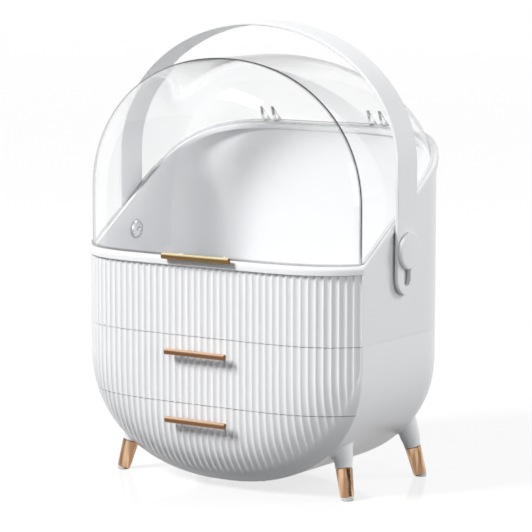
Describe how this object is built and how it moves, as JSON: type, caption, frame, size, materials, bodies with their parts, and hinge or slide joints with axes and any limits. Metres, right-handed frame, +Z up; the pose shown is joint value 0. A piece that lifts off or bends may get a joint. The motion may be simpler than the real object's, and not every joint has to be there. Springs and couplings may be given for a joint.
{
  "type": "makeup organizer",
  "caption": "Round-bottomed makeup organizer on splayed legs with ribbed drawers, an open tray under a clear hinged lid and a carry handle that swings back.",
  "frame": {"origin": "on the floor, under the middle of the object's width and depth", "axes": "+Z up, -Y towards the drawer fronts, +X to the right of a person who faces the drawers"},
  "size_m": [0.288, 0.2043, 0.3824],
  "materials": {
    "white_plastic": "glossy moulded plastic",
    "clear_plastic": "clear moulded plastic",
    "rose_gold": "rose gold, brushed",
    "gold": "pale gold, bright",
    "steel": "plated",
    "pad": "matt, pale"
  },
  "bodies": {
    "casing": {"lower_casing": "white_plastic", "divider_shelf": "white_plastic", "upper_tray": "white_plastic", "leg_front_left": "white_plastic", "leg_front_right": "white_plastic", "leg_rear_left": "white_plastic", "leg_rear_right": "white_plastic", "leg_tip_front_left": "rose_gold", "leg_tip_front_right": "rose_gold", "leg_tip_rear_left": "rose_gold", "leg_tip_rear_right": "rose_gold", "foot_pad_front_left": "pad", "foot_pad_front_right": "pad", "foot_pad_rear_left": "pad", "foot_pad_rear_right": "pad", "leg_screw_front_left": "steel", "leg_screw_front_right": "steel", "leg_screw_rear_left": "steel", "leg_screw_rear_right": "steel", "casing_screw_front_left": "steel", "casing_screw_front_right": "steel", "casing_screw_rear_left": "steel", "casing_screw_rear_right": "steel", "hinge_pin_left": "steel", "hinge_pin_right": "steel", "pivot_washer_left": "white_plastic", "pivot_washer_right": "white_plastic"},
    "drawer_1": {"drawer_1_front": "white_plastic", "drawer_1_tray": "white_plastic", "drawer_1_bar": "rose_gold", "drawer_1_screw_left": "steel", "drawer_1_screw_right": "steel"},
    "drawer_2": {"drawer_2_front": "white_plastic", "drawer_2_tray": "white_plastic", "drawer_2_bar": "rose_gold", "drawer_2_screw_left": "steel", "drawer_2_screw_right": "steel"},
    "lid": {"lid_shell": "clear_plastic", "lid_bar": "gold", "lid_screw_left": "steel", "lid_screw_right": "steel"},
    "pivots": {"pivot_knob_left": "white_plastic", "pivot_knob_right": "white_plastic", "pivot_screw_left": "steel", "pivot_screw_right": "steel"},
    "handle": {"carry_handle": "white_plastic"}
  },
  "joints": [
    {"name": "drawer_1_slide", "type": "slide", "parent": "casing", "child": "drawer_1", "axis": [0, -1, 0], "range_m": [0, 0.105]},
    {"name": "drawer_2_slide", "type": "slide", "parent": "casing", "child": "drawer_2", "axis": [0, -1, 0], "range_m": [0, 0.105]},
    {"name": "handle_swing", "type": "hinge", "parent": "casing", "child": "pivots", "pos_m": [0, 0.00035, 0.20064], "axis": [-1, 0, 0], "range_deg": [0, 130]},
    {"name": "handle_lift", "type": "slide", "parent": "pivots", "child": "handle", "axis": [0, 0, 1], "range_m": [0, 0.023]},
    {"name": "lid_hinge", "type": "hinge", "parent": "casing", "child": "lid", "pos_m": [0, 0.09835, 0.28904], "axis": [-1, 0, 0], "range_deg": [0, 58.5]}
  ],
  "couplings": [
    {"joint": "lid_hinge", "follows": "handle_swing", "ratio": 0.45}
  ]
}
